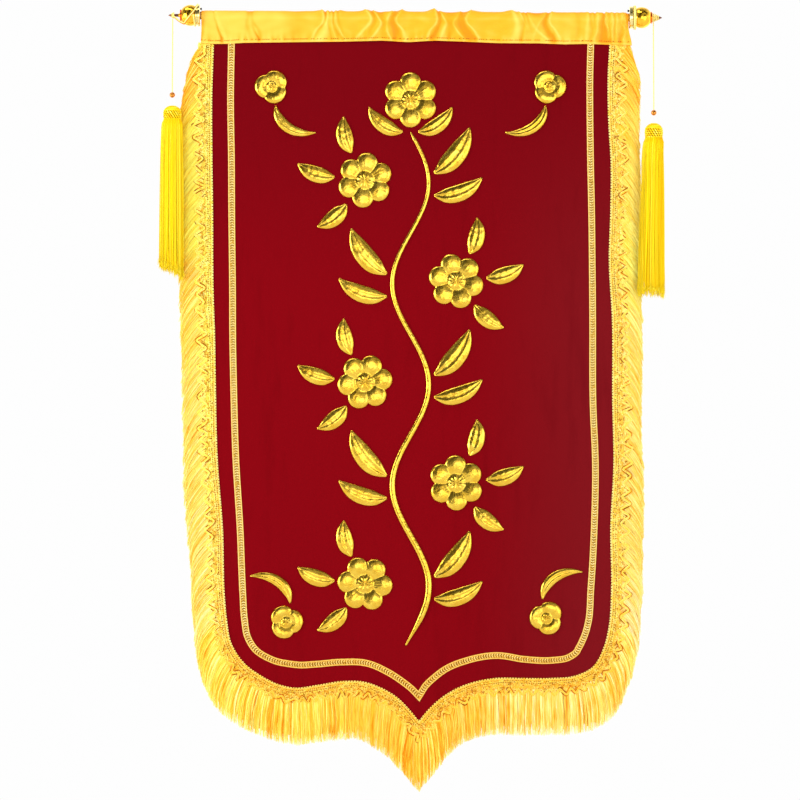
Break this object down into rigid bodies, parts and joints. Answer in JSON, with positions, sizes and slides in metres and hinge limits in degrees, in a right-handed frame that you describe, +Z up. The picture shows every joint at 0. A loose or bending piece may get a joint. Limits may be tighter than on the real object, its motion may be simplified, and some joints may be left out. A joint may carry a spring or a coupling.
{
  "type": "hanging embroidered pennant with rod",
  "caption": "Velvet pennant with a lobed, pointed foot, hung from a rod in a satin sleeve, with fringe, inset braid, padded gold appliques and tassels on finials.",
  "frame": {"origin": "middle of the rod, on its centre line", "axes": "+Z up, -Y out of the pennant's face, +X to the viewer's right along the rod"},
  "size_m": [0.774, 0.0462, 1.2047],
  "materials": {
    "velvet": "short-pile velvet, deep red",
    "satin": "glossy polyester satin, golden yellow",
    "fringe": "rayon chainette fringe and gimp, golden yellow",
    "braid": "woven metallic braid, pale gold",
    "foil": "padded metallised foil, gold",
    "chrome": "mirror gold plating",
    "wood": "plain turned wood",
    "tassel": "rayon yarn, bright yellow",
    "clear": "clear nylon line"
  },
  "bodies": {
    "root": {"bead_left": "chrome", "bead_right": "chrome", "blossom_1": "foil", "blossom_2": "foil", "blossom_3": "foil", "blossom_4": "foil", "blossom_5": "foil", "blossom_top": "foil", "finial_left": "chrome", "finial_right": "chrome", "fringe_trim": "fringe", "inset_braid": "braid", "leaf_1_back_down": "foil", "leaf_1_back_up": "foil", "leaf_1_down": "foil", "leaf_1_middle": "foil", "leaf_1_up": "foil", "leaf_2_back_down": "foil", "leaf_2_back_up": "foil", "leaf_2_down": "foil", "leaf_2_middle": "foil", "leaf_2_up": "foil", "leaf_3_back_down": "foil", "leaf_3_back_up": "foil", "leaf_3_down": "foil", "leaf_3_middle": "foil", "leaf_3_up": "foil", "leaf_4_back_down": "foil", "leaf_4_back_up": "foil", "leaf_4_down": "foil", "leaf_4_middle": "foil", "leaf_4_up": "foil", "leaf_5_back_down": "foil", "leaf_5_back_up": "foil", "leaf_5_down": "foil", "leaf_5_middle": "foil", "leaf_5_up": "foil", "leaf_top_left": "foil", "leaf_top_right": "foil", "loop_left": "clear", "loop_right": "clear", "rod": "wood", "rod_sleeve": "satin", "stalk_low_left": "foil", "stalk_low_right": "foil", "stalk_top_left": "foil", "stalk_top_right": "foil", "tassel_left": "tassel", "tassel_right": "tassel", "tassel_string_left": "tassel", "tassel_string_right": "tassel", "trefoil_low_left": "foil", "trefoil_low_right": "foil", "trefoil_top_left": "foil", "trefoil_top_right": "foil", "velvet_panel": "velvet", "vine_stem": "foil", "winding_left": "tassel", "winding_right": "tassel"}
  },
  "joints": []
}
